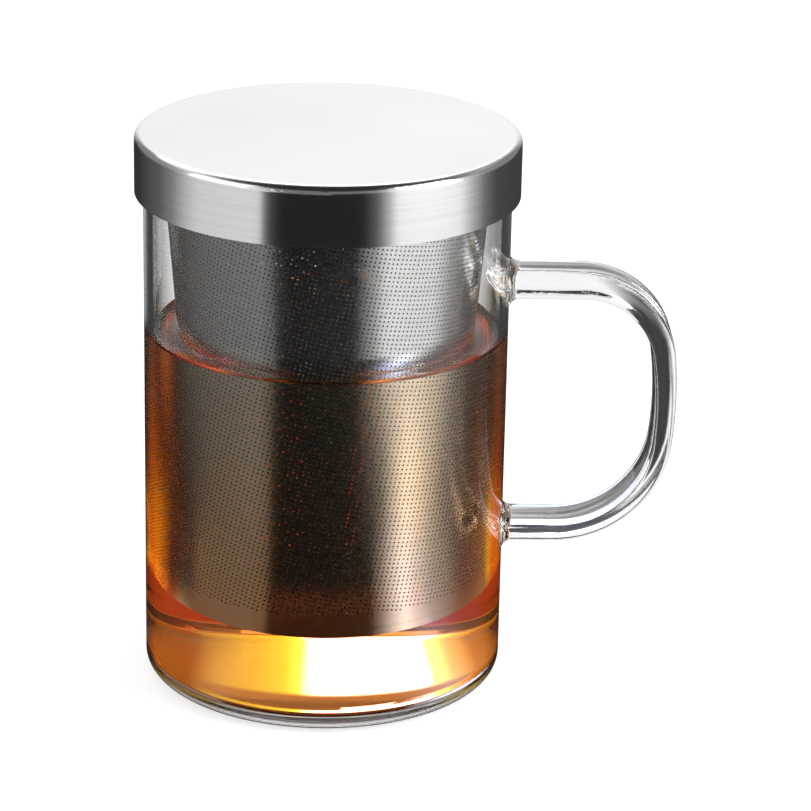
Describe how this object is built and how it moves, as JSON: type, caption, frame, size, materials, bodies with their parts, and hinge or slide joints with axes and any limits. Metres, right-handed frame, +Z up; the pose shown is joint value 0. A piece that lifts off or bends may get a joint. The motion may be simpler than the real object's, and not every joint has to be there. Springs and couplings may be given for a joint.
{
  "type": "lidded tea mug with infuser",
  "caption": "Straight glass mug with a welded strap handle, a lift-out perforated steel infuser hung on its lip and a flat steel cap lid.",
  "frame": {"origin": "centre of the mug's flat base, on the mug's axis", "axes": "+Z up along the mug's axis, +X towards the handle"},
  "size_m": [0.1253, 0.088, 0.1306],
  "materials": {
    "clear_glass": "clear, fire-polished",
    "infuser_steel": "satin sheet, finely perforated",
    "lid_steel": "brushed round the skirt and satin on top"
  },
  "bodies": {
    "mug": {"glass_body": "clear_glass", "glass_handle": "clear_glass"},
    "infuser": {"infuser_sleeve": "infuser_steel", "infuser_base": "infuser_steel", "infuser_rim": "infuser_steel"},
    "lid": {"lid_cap": "lid_steel"}
  },
  "joints": [
    {"name": "infuser_lift", "type": "slide", "parent": "mug", "child": "infuser", "axis": [0, 0, 1], "range_m": [0, 0.125]},
    {"name": "lid_lift", "type": "slide", "parent": "infuser", "child": "lid", "axis": [0, 0, 1], "range_m": [0, 0.04]}
  ]
}
